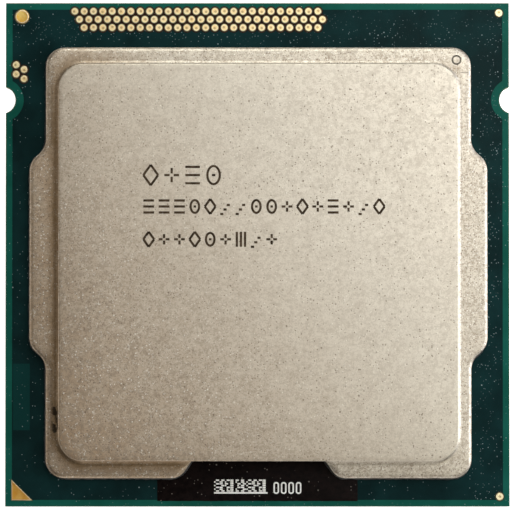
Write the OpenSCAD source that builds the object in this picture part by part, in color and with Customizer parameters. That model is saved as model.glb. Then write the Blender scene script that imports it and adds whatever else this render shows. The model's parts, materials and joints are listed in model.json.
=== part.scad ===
// Desktop processor in a square land-grid package: a laminated board with a metal heat
// spreader bonded over the silicon die, test pads and printed marks on top, and contact
// lands and capacitors below.
// Millimetres. +Z points up through the heat spreader and +Y to the edge that the two key
// notches are nearer to. The pin-one corner is at -X, -Y. The origin is the centre of the
// board's underside.

/* [Board] */
// Side of the square package board
board_side = 37.5; // [37.5:0.1:38.5]
// Thickness of the laminated core
core_t = 0.8; // [0.6:0.05:1.2]
// Thickness of the build-up layers on each face of the core
buildup_t = 0.16; // [0.1:0.01:0.3]
// Thickness of each copper plane
plane_t = 0.018; // [0.012:0.002:0.034]
// Thickness of the solder mask on each face
mask_t = 0.025; // [0.02:0.005:0.04]
// Bare strip between the copper planes and the edge of the board
plane_pullback = 0.5; // [0.3:0.05:0.8]
// Bare ring between the copper planes and each key notch
notch_pullback = 0.62; // [0.4:0.02:0.8]
// Radius of the plated vias through the core
via_r = 0.1; // [0.05:0.01:0.2]
// Spacing of the vias
via_pitch = 1.6; // [1.2:0.1:2]
// Number of vias along each side of their field
via_rows = 14; // [4:2:20]

/* [Key notches] */
// Radius of the two key notches
notch_r = 1.0; // [0.8:0.05:1.1]
// Distance from the edge of the board out to each notch's centre
notch_out = 0.28; // [0.2:0.02:0.4]
// Distance from the middle of the board up to the notches
notch_y = 11.5; // [11.3:0.1:11.7]

/* [Heat spreader] */
// Width of the flange without its ears
flange_w = 31.5; // [31:0.1:32]
// Length of the flange
flange_l = 31.9; // [31.5:0.1:32.2]
// Radius of the flange's corners
flange_r = 1.4; // [1:0.1:2]
// Height of the flange's top face above the board
flange_h = 1.2; // [1.1:0.05:1.4]
// Width across the two ears
ear_w = 33.9; // [33.5:0.1:34.5]
// Length of the straight edge of each ear
ear_l = 12.3; // [10:0.1:13]
// Radius of the curves that lead into each ear
ear_r = 1.5; // [1.3:0.1:2]
// Width of the raised plateau
plateau_w = 29.3; // [28.5:0.1:29.5]
// Length of the raised plateau
plateau_l = 29.1; // [28.5:0.1:29.3]
// Radius of the plateau's corners
plateau_r = 1.8; // [1.5:0.1:2.5]
// Height of the plateau's top face above the board
plateau_h = 3.1; // [2.8:0.05:3.4]
// Radius of the rounded edge round the top of the plateau
edge_r = 0.2; // [0.15:0.05:0.5]
// Radius of the fillet between the plateau and the flange
fillet_r = 0.35; // [0.2:0.05:0.5]
// Width of the gap in the flange, measured along its outer edge
gap_w = 12.9; // [11:0.1:14]
// Sideways offset of the spreader from the middle of the board
spreader_x = 0.08; // [-0.1:0.02:0.1]
// Lengthways offset of the spreader from the middle of the board
spreader_y = -0.62; // [-0.7:0.02:-0.5]
// Side of the square pocket under the spreader
pocket_side = 25.4; // [24:0.1:26]
// Radius of the pocket's corners
pocket_r = 2.5; // [1.5:0.1:3]
// Height of the pocket's ceiling above the board
pocket_h = 0.93; // [0.9:0.01:1]
// Radius of the ring mark in one corner of the flange
ring_r = 0.375; // [0.3:0.025:0.45]

/* [Die and bonds] */
// Width of the silicon die
die_w = 7.7; // [7:0.1:9]
// Length of the silicon die
die_l = 17.3; // [16:0.1:20]
// Thickness of the silicon die
die_t = 0.77; // [0.7:0.01:0.78]
// Height of the solder bumps between the die and the mask
bump_h = 0.075; // [0.06:0.005:0.09]
// Radius of the solder bumps
bump_r = 0.08; // [0.05:0.01:0.12]
// Spacing of the solder bumps
bump_pitch = 0.8; // [0.6:0.1:1]
// Thickness of the sealant under the heat spreader
sealant_t = 0.08; // [0.06:0.01:0.12]
// Width of the sealant bead
bead_w = 1.4; // [1:0.1:1.5]
// Width of the vent gap in the sealant
vent_w = 1.5; // [1:0.1:3]

/* [Contact lands] */
// Spacing of the contact lands
land_pitch = 0.9144; // [0.9144]
// Lands along each side of the square grid
land_rows = 40; // [40]
// Width of one land
land_w = 0.6; // [0.5:0.05:0.65]
// Length of one land
land_l = 0.7; // [0.6:0.05:0.75]
// Thickness of one land
land_t = 0.02; // [0.01:0.005:0.02]

/* [Capacitors] */
// Columns of capacitors under the die
cap_columns = 5; // [2:1:5]
// Rows of capacitors under the die
cap_rows = 9; // [3:2:9]
// Length of one capacitor
cap_l = 1.6; // [1:0.1:1.8]
// Width of one capacitor
cap_w = 0.8; // [0.5:0.1:1]
// Height of one capacitor
cap_h = 0.5; // [0.4:0.05:0.6]
// Length of each metal end of a capacitor
cap_end = 0.3; // [0.2:0.05:0.4]

/* [Top pads and marks] */
// Thickness of the gold pads on top
pad_t = 0.03; // [0.02:0.005:0.04]
// Diameter of one test pad
test_pad_d = 0.53; // [0.4:0.01:0.55]
// Spacing of the test pads along a row
test_pad_pitch = 0.697; // [0.69:0.001:0.7]
// Diameter of the large round pad
large_pad_d = 1.05; // [0.8:0.05:1.2]
// Diameter of the two small alignment pads
small_pad_d = 0.57; // [0.4:0.01:0.6]
// Leg length of the triangle at the pin-one corner
triangle_leg = 1.5; // [1:0.1:1.6]
// Width of the black printed patch
patch_w = 14.9; // [14:0.1:15]
// Thickness of the black printed patch
patch_t = 0.012; // [0.008:0.002:0.02]
// Thickness of the white print on the patch
print_t = 0.006; // [0.004:0.001:0.01]

/* [Hidden] */

overshoot = 1; // how far a cutting tool runs past the face that it cuts
arc_steps = 10; // straight steps in a curved stretch of an outline
round_fn = 48; // fineness of a round piece

// Heights of the layers above the board's underside
core_z = mask_t + buildup_t + plane_t;
core_top = core_z + core_t;
buildup_top = core_top + plane_t + buildup_t;
board_top = buildup_top + mask_t;
foot_z = board_top + sealant_t;
flange_top = board_top + flange_h;
plateau_top = board_top + plateau_h;
pocket_top = board_top + pocket_h;
die_z = board_top + bump_h;
die_top = die_z + die_t;

notch_x = board_side / 2 + notch_out;
pad_clearance = 0.04; // between a pad and the edge of its opening in the mask

// Top pads, from the middle of the board
test_row_x = -13.62;
test_row_y = 18.13;
test_row_step = 0.61;
test_row_counts = [27, 27, 26];
side_pad_x = -17.99;
side_pad_y = 14.13;
side_pad_step = 0.59;
side_pad_count = 4;
large_pad_at = [-17.55, 17.73];
small_pads_at = [[18, 18], [18, -18]];
triangle_at = [-18.27, -18.27];

// Black patch and its white print
patch_y = -18.34;
patch_l = 3.2;
code_at = [-3.23, -17.78];
code_cell = 0.133;
code_gap = 0.0133; // left on each side of a dash
code_columns = 10;
code_lines = 7;
digit_at = [1.19, -17.8];
digit_w = 0.42;
digit_l = 0.88;
digit_pitch = 0.553;
digit_stroke = 0.11;
digit_count = 4;
digit_flat = 0.02; // short straight run left at a digit's top and bottom

// Land grid: the middle is left free for the capacitors
land_middle = (land_rows - 1) / 2;
free_columns = 16;
free_rows = 25;
gap_row = 22; // row left out on both sides of the middle
free_middle = (land_rows - free_rows) % 2 == 0 ? land_middle : land_middle + 0.5;
window_half = land_rows / 2 * land_pitch; // the land field is one window in the mask
window_notch_r = 1.7; // the mask's rim round each notch
notch_rows = 3; // rows left out in the outer column beside each notch
corner_cut = 2; // diagonals left out at each corner, with one more at the pin-one corner
island_w = free_columns * land_pitch;
island_l = free_rows * land_pitch;
island_y = (free_middle - land_middle) * land_pitch;

// Bonds
underfill_spread = 0.8; // how far the underfill runs out past the die
collar = 0.35; // how far its raised collar reaches from the die
collar_h = 0.3; // how far the collar climbs above the bumps
bead_gap = 0.2; // from the pocket out to the bead
bead_r = 2.2; // inner corners of the bead

// Ring mark in the flange, from the middle of the spreader
ring_at = [14.66, 15.0];
ring_groove_w = 0.1;
ring_groove_t = 0.08;

// Capacitors
cap_pitch_x = 2.6;
cap_pitch_y = 2.3;
cap_pad_t = 0.02;
cap_solder_t = 0.03;
cap_top_z = mask_t - cap_pad_t - cap_solder_t;
cap_base_z = cap_top_z - cap_h;
cap_fillet = 0.15; // how far the solder runs out past each metal end
cap_fillet_rise = 0.3; // how far it climbs up the end
cap_body_inset = 0.02; // how far the ceramic sits inside its metal ends
cap_opening_gap = 0.08; // from the solder to the edge of the opening in the mask

// Points of an arc about [x, y], from angle a0 to angle a1
function arc(x, y, r, a0, a1) = [
    for (i = [0 : arc_steps])
        let (a = a0 + (a1 - a0) * i / arc_steps)
            [x + r * cos(a), y + r * sin(a)]
];

// Anticlockwise outline of a rectangle with round corners, centred on the origin
function rounded_rectangle(w, l, r) = concat(
    arc(w / 2 - r, -l / 2 + r, r, -90, 0),
    arc(w / 2 - r, l / 2 - r, r, 0, 90),
    arc(-w / 2 + r, l / 2 - r, r, 90, 180),
    arc(-w / 2 + r, -l / 2 + r, r, 180, 270)
);

// ---------------------------------------------------------------- board layers

module notch_cutters(z, h, r) {
    for (side = [-1, 1]) {
        translate([side * notch_x, notch_y, z]) cylinder(r = r, h = h, $fn = round_fn);
    }
}

module notched_plate(side, r, z, t) {
    difference() {
        translate([-side / 2, -side / 2, z]) cube([side, side, t]);
        notch_cutters(z - overshoot, t + 2 * overshoot, r);
    }
}

module board_plate(z, t) {
    notched_plate(board_side, notch_r, z, t);
}

// The copper stops short of the board's edges and of the notches
module copper_plate(z, t) {
    notched_plate(board_side - 2 * plane_pullback, notch_r + notch_pullback, z, t);
}

module via_posts(z, h) {
    middle = (via_rows - 1) / 2;
    for (row = [0 : via_rows - 1]) {
        union() {
            for (column = [0 : via_rows - 1]) {
                translate([(column - middle) * via_pitch, (row - middle) * via_pitch, z])
                    cylinder(r = via_r, h = h, $fn = round_fn);
            }
        }
    }
}

module substrate_core() {
    color("olive") difference() {
        board_plate(core_z, core_t);
        via_posts(core_z - overshoot, core_t + 2 * overshoot);
    }
}

module core_vias() {
    color("peru") via_posts(core_z, core_t);
}

module copper_plane_top() {
    color("chocolate") copper_plate(core_top, plane_t);
}

module copper_plane_bottom() {
    color("chocolate") copper_plate(core_z - plane_t, plane_t);
}

module buildup_layers_top() {
    color("darkolivegreen") difference() {
        board_plate(core_top, plane_t + buildup_t);
        copper_plate(core_top - overshoot, plane_t + overshoot);
    }
}

module buildup_layers_bottom() {
    color("darkolivegreen") difference() {
        board_plate(mask_t, buildup_t + plane_t);
        copper_plate(mask_t + buildup_t, plane_t + overshoot);
    }
}

module solder_mask_top() {
    color("#143c3c") difference() {
        board_plate(buildup_top, mask_t);
        pad_openings();
        translate([spreader_x - die_w / 2, spreader_y - die_l / 2, buildup_top - overshoot])
            cube([die_w, die_l, 2 * overshoot]);
    }
}

// The land field is one window in this layer, round an island for the capacitors
module solder_mask_bottom() {
    color("#143c3c") {
        difference() {
            board_plate(0, mask_t);
            difference() {
                translate([-window_half, -window_half, -overshoot])
                    cube([2 * window_half, 2 * window_half, 2 * overshoot]);
                notch_cutters(-2 * overshoot, 4 * overshoot, window_notch_r);
            }
        }
        difference() {
            translate([-island_w / 2, island_y - island_l / 2, 0]) cube([island_w, island_l, mask_t]);
            at_each_capacitor() capacitor_opening();
        }
    }
}

// ---------------------------------------------------------------- underside

function land_place(i) = (i - land_middle) * land_pitch;

function in_free_middle(column, row) =
    abs(column - land_middle) < free_columns / 2 && abs(row - free_middle) < free_rows / 2;

function beside_middle(column, row) = row == gap_row && !in_free_middle(column, row);

function at_notch(column, row) =
    (column == 0 || column == land_rows - 1)
    && abs(land_place(row) - notch_y) < notch_rows / 2 * land_pitch;

// Steps from the nearest corner of the grid
function corner_steps(column, row) =
    min(column, land_rows - 1 - column) + min(row, land_rows - 1 - row);

function in_corner(column, row) =
    corner_steps(column, row) < corner_cut + (max(column, row) < land_middle ? 1 : 0);

function has_land(column, row) =
    !in_free_middle(column, row) && !beside_middle(column, row)
    && !at_notch(column, row) && !in_corner(column, row);

module contact_lands() {
    color("gold") for (row = [0 : land_rows - 1]) {
        union() {
            for (column = [0 : land_rows - 1]) {
                if (has_land(column, row)) {
                    translate([
                        land_place(column) - land_w / 2,
                        land_place(row) - land_l / 2,
                        mask_t - land_t
                    ]) cube([land_w, land_l, land_t]);
                }
            }
        }
    }
}

module at_each_capacitor() {
    for (column = [0 : cap_columns - 1]) {
        for (row = [0 : cap_rows - 1]) {
            translate([
                (column - (cap_columns - 1) / 2) * cap_pitch_x,
                island_y + (row - (cap_rows - 1) / 2) * cap_pitch_y,
                0
            ]) children();
        }
    }
}

module capacitor_opening() {
    l = cap_l + 2 * (cap_fillet + cap_opening_gap);
    w = cap_w + 2 * cap_opening_gap;
    translate([-l / 2, -w / 2, -overshoot]) cube([l, w, 2 * overshoot]);
}

module capacitor_pads() {
    pad_l = cap_end + cap_fillet;
    color("gold") at_each_capacitor() for (side = [0, 1]) {
        mirror([side, 0, 0]) translate([cap_l / 2 - cap_end, -cap_w / 2, mask_t - cap_pad_t])
            cube([pad_l, cap_w, cap_pad_t]);
    }
}

// Solder under each metal end, with a sloping fillet up its outer face
module capacitor_solder() {
    joint = [
        [cap_l / 2 - cap_end, cap_top_z + cap_solder_t],
        [cap_l / 2 - cap_end, cap_top_z],
        [cap_l / 2, cap_top_z],
        [cap_l / 2, cap_top_z - cap_fillet_rise],
        [cap_l / 2 + cap_fillet, cap_top_z],
        [cap_l / 2 + cap_fillet, cap_top_z + cap_solder_t]
    ];
    color("silver") at_each_capacitor() for (side = [0, 1]) {
        mirror([side, 0, 0]) translate([0, cap_w / 2, 0]) rotate([90, 0, 0])
            linear_extrude(height = cap_w) polygon(joint);
    }
}

module capacitor_terminals() {
    color("lightgrey") at_each_capacitor() for (side = [0, 1]) {
        mirror([side, 0, 0]) translate([cap_l / 2 - cap_end, -cap_w / 2, cap_base_z])
            cube([cap_end, cap_w, cap_h]);
    }
}

module capacitor_bodies() {
    body_l = cap_l - 2 * cap_end;
    body_w = cap_w - 2 * cap_body_inset;
    color("tan") at_each_capacitor() translate([-body_l / 2, -body_w / 2, cap_base_z])
        cube([body_l, body_w, cap_h - cap_body_inset]);
}

// ---------------------------------------------------------------- die and bonds

module at_spreader(z) {
    translate([spreader_x, spreader_y, z]) children();
}

module bump_posts(z, h) {
    columns = floor((die_w - bump_pitch) / bump_pitch);
    rows = floor((die_l - bump_pitch) / bump_pitch);
    for (row = [0 : rows]) {
        union() {
            for (column = [0 : columns]) {
                translate([(column - columns / 2) * bump_pitch, (row - rows / 2) * bump_pitch, z])
                    cylinder(r = bump_r, h = h, $fn = round_fn);
            }
        }
    }
}

module die_bumps() {
    color("silver") at_spreader(0) bump_posts(buildup_top, die_z - buildup_top);
}

function underfill_outline(out) = rounded_rectangle(die_w + 2 * out, die_l + 2 * out, out);

// Fills the mask's window under the die, and climbs a little way up the die's sides
module die_underfill() {
    color("darkslategray") at_spreader(0) difference() {
        union() {
            translate([-die_w / 2, -die_l / 2, buildup_top]) cube([die_w, die_l, die_z - buildup_top]);
            translate([0, 0, board_top]) linear_extrude(height = bump_h)
                polygon(underfill_outline(underfill_spread));
            translate([0, 0, board_top]) linear_extrude(height = bump_h + collar_h)
                polygon(underfill_outline(collar));
        }
        translate([-die_w / 2, -die_l / 2, die_z]) cube([die_w, die_l, die_t]);
        bump_posts(buildup_top - overshoot, die_z - buildup_top + 2 * overshoot);
    }
}

module silicon_die() {
    color("slategray") at_spreader(die_z) translate([-die_w / 2, -die_l / 2, 0])
        cube([die_w, die_l, die_t]);
}

module thermal_paste() {
    color("gainsboro") at_spreader(die_top) translate([-die_w / 2, -die_l / 2, 0])
        cube([die_w, die_l, pocket_top - die_top]);
}

// Sealant under the spreader's foot, open at a vent on the edge with the flange's gap
module sealant_bead() {
    inner = pocket_side + 2 * bead_gap;
    outer = inner + 2 * bead_w;
    color("dimgray") at_spreader(board_top) difference() {
        linear_extrude(height = sealant_t)
            polygon(rounded_rectangle(outer, outer, bead_r + bead_w));
        translate([0, 0, -overshoot]) linear_extrude(height = sealant_t + 2 * overshoot)
            polygon(rounded_rectangle(inner, inner, bead_r));
        translate([-vent_w / 2, -outer / 2 - overshoot, -overshoot])
            cube([vent_w, bead_w + 2 * overshoot, sealant_t + 2 * overshoot]);
    }
}

// ---------------------------------------------------------------- heat spreader

// The two tangent arcs into an ear turn by this angle
ear_turn = acos(1 - (ear_w - flange_w) / (4 * ear_r));
ear_rise = 2 * ear_r * sin(ear_turn);

// Right-hand edge of the flange, going up, with the ear level with the board's middle
function ear_edge() =
    let (
        inner_x = flange_w / 2 + ear_r,
        outer_x = ear_w / 2 - ear_r,
        straight = ear_l / 2,
        start = straight + ear_rise,
        up = -spreader_y
    ) concat(
        arc(inner_x, up - start, ear_r, 180, 180 - ear_turn),
        arc(outer_x, up - straight, ear_r, -ear_turn, 0),
        arc(outer_x, up + straight, ear_r, 0, ear_turn),
        arc(inner_x, up + start, ear_r, 180 + ear_turn, 180)
    );

// Left-hand end of the flange's gap, going from the outer edge in to the plateau's wall
gap_turn = 56;
gap_outer_r = 1.2;
gap_inner_r = 0.3;
gap_ledge = 0.02; // left in front of the plateau's wall
gap_depth = (flange_l - plateau_l) / 2 - gap_ledge;
gap_straight = (gap_depth - (gap_outer_r + gap_inner_r) * (1 - cos(gap_turn))) / sin(gap_turn);
gap_run = (gap_outer_r + gap_inner_r) * sin(gap_turn) + gap_straight * cos(gap_turn);

function gap_end() =
    let (x = -gap_w / 2, y = -flange_l / 2) concat(
        arc(x, y + gap_outer_r, gap_outer_r, -90, -90 + gap_turn),
        arc(x + gap_run, y + gap_depth - gap_inner_r, gap_inner_r, 90 + gap_turn, 90)
    );

function mirrored(points) =
    [for (i = [len(points) - 1 : -1 : 0]) [-points[i][0], points[i][1]]];

function flange_outline() =
    let (x = flange_w / 2 - flange_r, y = flange_l / 2 - flange_r) concat(
        gap_end(),
        mirrored(gap_end()),
        arc(x, -y, flange_r, -90, 0),
        ear_edge(),
        arc(x, y, flange_r, 0, 90),
        arc(-x, y, flange_r, 90, 180),
        mirrored(ear_edge()),
        arc(-x, -y, flange_r, 180, 270)
    );

// Half of the plateau's section, from its axis out to the given reach: wall, rounded top edge
// and the fillet down to the flange
function plateau_section(reach) = concat(
    [[0, flange_top - fillet_r], [reach + fillet_r, flange_top - fillet_r]],
    arc(reach + fillet_r, flange_top + fillet_r, fillet_r, 270, 180),
    arc(reach - edge_r, plateau_top - edge_r, edge_r, 0, 90),
    [[0, plateau_top]]
);

// A bar with the plateau's section on both sides
module plateau_bar(w, l) {
    for (side = [0, 1]) {
        mirror([side, 0, 0]) translate([0, l / 2, 0]) rotate([90, 0, 0])
            linear_extrude(height = l) polygon(plateau_section(w / 2));
    }
}

module plateau() {
    x = plateau_w / 2 - plateau_r;
    y = plateau_l / 2 - plateau_r;
    plateau_bar(plateau_w, 2 * y);
    rotate([0, 0, 90]) plateau_bar(plateau_l, 2 * x);
    for (quarter = [[x, y, 0], [-x, y, 90], [-x, -y, 180], [x, -y, 270]]) {
        translate([quarter[0], quarter[1], 0]) rotate([0, 0, quarter[2]])
            rotate_extrude(angle = 90, $fn = round_fn * 2) polygon(plateau_section(plateau_r));
    }
}

module ring_mark() {
    translate([ring_at[0], ring_at[1], flange_top - ring_groove_t]) difference() {
        cylinder(r = ring_r, h = overshoot, $fn = round_fn);
        cylinder(r = ring_r - ring_groove_w, h = overshoot, $fn = round_fn);
    }
}

module heat_spreader() {
    color("#c8c0b0") at_spreader(0) difference() {
        union() {
            translate([0, 0, foot_z]) linear_extrude(height = flange_top - foot_z)
                polygon(flange_outline());
            intersection() {
                plateau();
                translate([0, 0, foot_z]) linear_extrude(height = plateau_top + overshoot)
                    polygon(flange_outline());
            }
        }
        translate([0, 0, foot_z - overshoot])
            linear_extrude(height = pocket_top - foot_z + overshoot)
                polygon(rounded_rectangle(pocket_side, pocket_side, pocket_r));
        ring_mark();
    }
}

// ---------------------------------------------------------------- top pads and marks

module disc(at, d, z, h) {
    translate([at[0], at[1], z]) cylinder(d = d, h = h, $fn = round_fn);
}

module test_pad_rows(d, z, h) {
    for (row = [0 : len(test_row_counts) - 1]) {
        for (i = [0 : test_row_counts[row] - 1]) {
            disc([
                test_row_x + (i + row / 2) * test_pad_pitch,
                test_row_y - row * test_row_step
            ], d, z, h);
        }
    }
}

module side_pad_zigzag(d, z, h) {
    for (i = [0 : side_pad_count - 1]) {
        disc([side_pad_x + (i % 2) * side_pad_step, side_pad_y - i * test_pad_pitch / 2], d, z, h);
    }
}

module corner_triangle(leg, z, h) {
    margin = (leg - triangle_leg) / 3;
    translate([triangle_at[0] - margin, triangle_at[1] - margin, z]) linear_extrude(height = h)
        polygon([[0, 0], [leg, 0], [0, leg]]);
}

module pad_openings() {
    z = buildup_top - overshoot;
    h = 2 * overshoot;
    grow = 2 * pad_clearance;
    test_pad_rows(test_pad_d + grow, z, h);
    side_pad_zigzag(test_pad_d + grow, z, h);
    disc(large_pad_at, large_pad_d + grow, z, h);
    for (at = small_pads_at) disc(at, small_pad_d + grow, z, h);
    corner_triangle(triangle_leg + 3 * pad_clearance, z, h);
}

module test_pads_top_edge() {
    color("gold") test_pad_rows(test_pad_d, buildup_top, pad_t);
}

module test_pads_side() {
    color("gold") side_pad_zigzag(test_pad_d, buildup_top, pad_t);
}

module large_round_pad() {
    color("goldenrod") disc(large_pad_at, large_pad_d, buildup_top, pad_t);
}

module alignment_pads() {
    color("gold") for (at = small_pads_at) disc(at, small_pad_d, buildup_top, pad_t);
}

module pin_one_triangle() {
    color("goldenrod") corner_triangle(triangle_leg, buildup_top, pad_t);
}

module marking_patch() {
    color("#141010") translate([-patch_w / 2, patch_y, board_top]) cube([patch_w, patch_l, patch_t]);
}

module digit_outline(inset) {
    w = digit_w - 2 * inset;
    polygon(rounded_rectangle(w, digit_l - 2 * inset, (w - digit_flat) / 2));
}

// A plain pattern of dashes, and four equal rings in place of digits
module code_marks() {
    gap = code_gap;
    slot = 3 * code_cell;
    z = board_top + patch_t;
    color("white") {
        for (line = [1 : code_lines]) {
            for (i = [0 : code_columns - 1]) {
                long = 1 + (line * 5 + i * 3 + line * i) % 2;
                shift = (line + 2 * i + floor(line * i / 3)) % 2;
                translate([
                    code_at[0] + i * slot + shift * code_cell + gap,
                    code_at[1] + line * code_cell + gap,
                    z
                ]) cube([long * code_cell - 2 * gap, code_cell - 2 * gap, print_t]);
            }
        }
        translate([code_at[0], code_at[1], z])
            cube([code_columns * slot, code_cell - gap, print_t]);
        for (i = [0 : digit_count - 1]) {
            translate([
                digit_at[0] + digit_w / 2 + i * digit_pitch,
                digit_at[1] + digit_l / 2,
                z
            ]) linear_extrude(height = print_t) difference() {
                digit_outline(0);
                digit_outline(digit_stroke);
            }
        }
    }
}

substrate_core();
core_vias();
copper_plane_top();
copper_plane_bottom();
buildup_layers_top();
buildup_layers_bottom();
solder_mask_top();
solder_mask_bottom();
contact_lands();
capacitor_pads();
capacitor_solder();
capacitor_terminals();
capacitor_bodies();
die_bumps();
die_underfill();
silicon_die();
thermal_paste();
sealant_bead();
heat_spreader();
test_pads_top_edge();
test_pads_side();
large_round_pad();
alignment_pads();
pin_one_triangle();
marking_patch();
code_marks();
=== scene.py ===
"""A desktop processor in a square land-grid package, seen from straight above in soft light.

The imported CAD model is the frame. Every outline and place below is read from its meshes; the
detailed pieces then stand for the CAD nodes that show. Lengths are in millimetres until a mesh is
made, and heights are measured from the underside of the board.
"""

import math
import random

import bmesh
import bpy
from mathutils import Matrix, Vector, noise
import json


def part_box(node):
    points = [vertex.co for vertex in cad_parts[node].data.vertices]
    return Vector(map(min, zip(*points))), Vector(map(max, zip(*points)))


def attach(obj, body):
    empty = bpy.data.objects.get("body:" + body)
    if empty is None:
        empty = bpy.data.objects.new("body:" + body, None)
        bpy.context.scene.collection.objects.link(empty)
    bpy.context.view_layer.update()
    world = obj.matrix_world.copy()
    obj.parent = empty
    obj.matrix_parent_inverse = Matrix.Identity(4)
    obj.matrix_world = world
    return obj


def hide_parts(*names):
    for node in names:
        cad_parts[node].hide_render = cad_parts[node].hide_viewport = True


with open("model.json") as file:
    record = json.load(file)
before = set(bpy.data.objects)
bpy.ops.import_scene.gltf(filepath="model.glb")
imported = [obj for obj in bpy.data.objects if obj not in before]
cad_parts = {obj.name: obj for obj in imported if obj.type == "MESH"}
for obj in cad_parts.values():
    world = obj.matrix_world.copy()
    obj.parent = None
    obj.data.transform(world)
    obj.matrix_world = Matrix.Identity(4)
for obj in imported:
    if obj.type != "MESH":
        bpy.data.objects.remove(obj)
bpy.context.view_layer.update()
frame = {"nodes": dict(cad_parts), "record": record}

MM = 0.001
BODY = "root"
CAD = frame["nodes"]


# ---- reading the frame

def height(node, top):
    """Height of the top or the bottom of a CAD node, in millimetres."""
    lo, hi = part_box(node)
    return (hi.z if top else lo.z) / MM


def welded(node):
    """A bmesh of a CAD node in millimetres, with its split corners joined."""
    bm = bmesh.new()
    bm.from_mesh(CAD[node].data)
    bmesh.ops.scale(bm, vec=(1 / MM,) * 3, verts=bm.verts)
    bmesh.ops.remove_doubles(bm, verts=bm.verts, dist=1e-4)
    return bm


def cad_boxes(node):
    """(lowest corner, highest corner) of each separate solid in a CAD node, in reading order."""
    bm = welded(node)
    seen = set()
    boxes = []
    for start in bm.verts:
        if start in seen:
            continue
        seen.add(start)
        group = [start]
        for v in group:
            for edge in v.link_edges:
                other = edge.other_vert(v)
                if other not in seen:
                    seen.add(other)
                    group.append(other)
        lo = Vector(min(v.co[i] for v in group) for i in range(3))
        hi = Vector(max(v.co[i] for v in group) for i in range(3))
        boxes.append((lo, hi))
    bm.free()
    return sorted(boxes, key=lambda b: (round(b[0].y, 3), b[0].x))


def loop_area(points):
    """Signed area of a closed outline, above 0 when it runs anticlockwise."""
    pairs = zip(points, points[1:] + points[:1])
    return sum(a.x * b.y - b.x * a.y for a, b in pairs) / 2


def cad_outlines(node, z):
    """The closed outlines of a CAD node's flat face at height z, largest first, anticlockwise."""
    bm = welded(node)

    def flat(face):
        return all(abs(v.co.z - z) < 1e-3 for v in face.verts)

    following = {}
    for edge in bm.edges:
        if sum(flat(f) for f in edge.link_faces) == 1:
            a, b = edge.verts
            following.setdefault(a, []).append(b)
            following.setdefault(b, []).append(a)
    outlines = []
    while following:
        first = next(iter(following))
        before, now = None, first
        points = []
        while now in following:
            points.append(Vector((now.co.x, now.co.y)))
            ahead = [v for v in following.pop(now) if v is not before]
            before, now = now, ahead[0]
        if loop_area(points) < 0:
            points.reverse()
        outlines.append(points)
    bm.free()
    return sorted(outlines, key=loop_area, reverse=True)


# ---- outlines

def arc(x, y, r, start, end, steps):
    """Points of an arc about (x, y), between two angles in degrees."""
    angles = [math.radians(start + (end - start) * i / steps) for i in range(steps + 1)]
    return [Vector((x + r * math.cos(a), y + r * math.sin(a))) for a in angles]


def rounded(w, l, r, steps=3):
    """Anticlockwise outline of a rectangle with round corners, about the origin."""
    x, y = w / 2 - r, l / 2 - r
    corners = [(x, -y, -90), (x, y, 0), (-x, y, 90), (-x, -y, 180)]
    return [p for cx, cy, a in corners for p in arc(cx, cy, r, a, a + 90, steps)]


def moved(points, x, y):
    return [p + Vector((x, y)) for p in points]


def subdivided(points, step):
    """The same closed outline with no side longer than step."""
    out = []
    for a, b in zip(points, points[1:] + points[:1]):
        count = max(1, math.ceil((b - a).length / step))
        out += [a.lerp(b, i / count) for i in range(count)]
    return out


def outward(points):
    """The outward normal at each point of an anticlockwise closed outline."""
    normals = []
    for before, after in zip(points[-1:] + points[:-1], points[1:] + points[:1]):
        along = (after - before).normalized()
        normals.append(Vector((along.y, -along.x)))
    return normals


def reach(origin, direction, outline):
    """Distance from origin along direction to the nearest side of an outline."""
    best = None
    for a, b in zip(outline, outline[1:] + outline[:1]):
        side = b - a
        cross = direction.x * side.y - direction.y * side.x
        if abs(cross) < 1e-12:
            continue
        offset = a - origin
        far = (offset.x * side.y - offset.y * side.x) / cross
        share = (offset.x * direction.y - offset.y * direction.x) / cross
        if far > -1e-6 and -1e-6 <= share <= 1 + 1e-6 and (best is None or far < best):
            best = far
    return 0.0 if best is None else best


# ---- meshes

def link(name, data):
    """Adds an object with the given data to the scene."""
    obj = bpy.data.objects.new(name, data)
    bpy.context.scene.collection.objects.link(obj)
    return obj


def in_metres(name, bm):
    """A mesh in metres made from a bmesh in millimetres, which is then freed."""
    mesh = bpy.data.meshes.new(name)
    bmesh.ops.recalc_face_normals(bm, faces=bm.faces)
    bmesh.ops.scale(bm, vec=(MM,) * 3, verts=bm.verts)
    bm.to_mesh(mesh)
    bm.free()
    return mesh


def piece(name, bm, slot, *nodes, look, smooth=True):
    """Turns a bmesh in millimetres into a piece that stands for the CAD nodes named."""
    mesh = in_metres(name, bm)
    mesh.polygons.foreach_set("use_smooth", [smooth] * len(mesh.polygons))
    obj = link(name, mesh)
    if smooth:
        mesh.set_sharp_from_angle(angle=math.radians(40))
    mesh.materials.append(MATERIALS[look])
    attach(obj, BODY)
    if nodes:
        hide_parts(*nodes)
    return obj


def middle(lo, hi):
    """The middle of a box, in the board's plane."""
    return (lo.x + hi.x) / 2, (lo.y + hi.y) / 2


def add_ring(bm, points, z):
    """Adds one ring of vertices; z is one height, or one for each point."""
    heights = z if isinstance(z, list) else [z] * len(points)
    return [bm.verts.new((p.x, p.y, h)) for p, h in zip(points, heights)]


def loft(bm, rings, capped=True):
    """Joins a list of vertex rings into one skin, with a flat face on both ends if capped."""
    for lower, upper in zip(rings, rings[1:]):
        for i in range(len(lower)):
            j = (i + 1) % len(lower)
            bm.faces.new((lower[i], lower[j], upper[j], upper[i]))
    if capped:
        bm.faces.new(list(reversed(rings[0])))
        bm.faces.new(rings[-1])


def tube(bm, sections):
    """A closed skin through (outline, height) sections, whose last one joins the first."""
    rings = [add_ring(bm, points, z) for points, z in sections]
    loft(bm, rings + rings[:1], capped=False)


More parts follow.
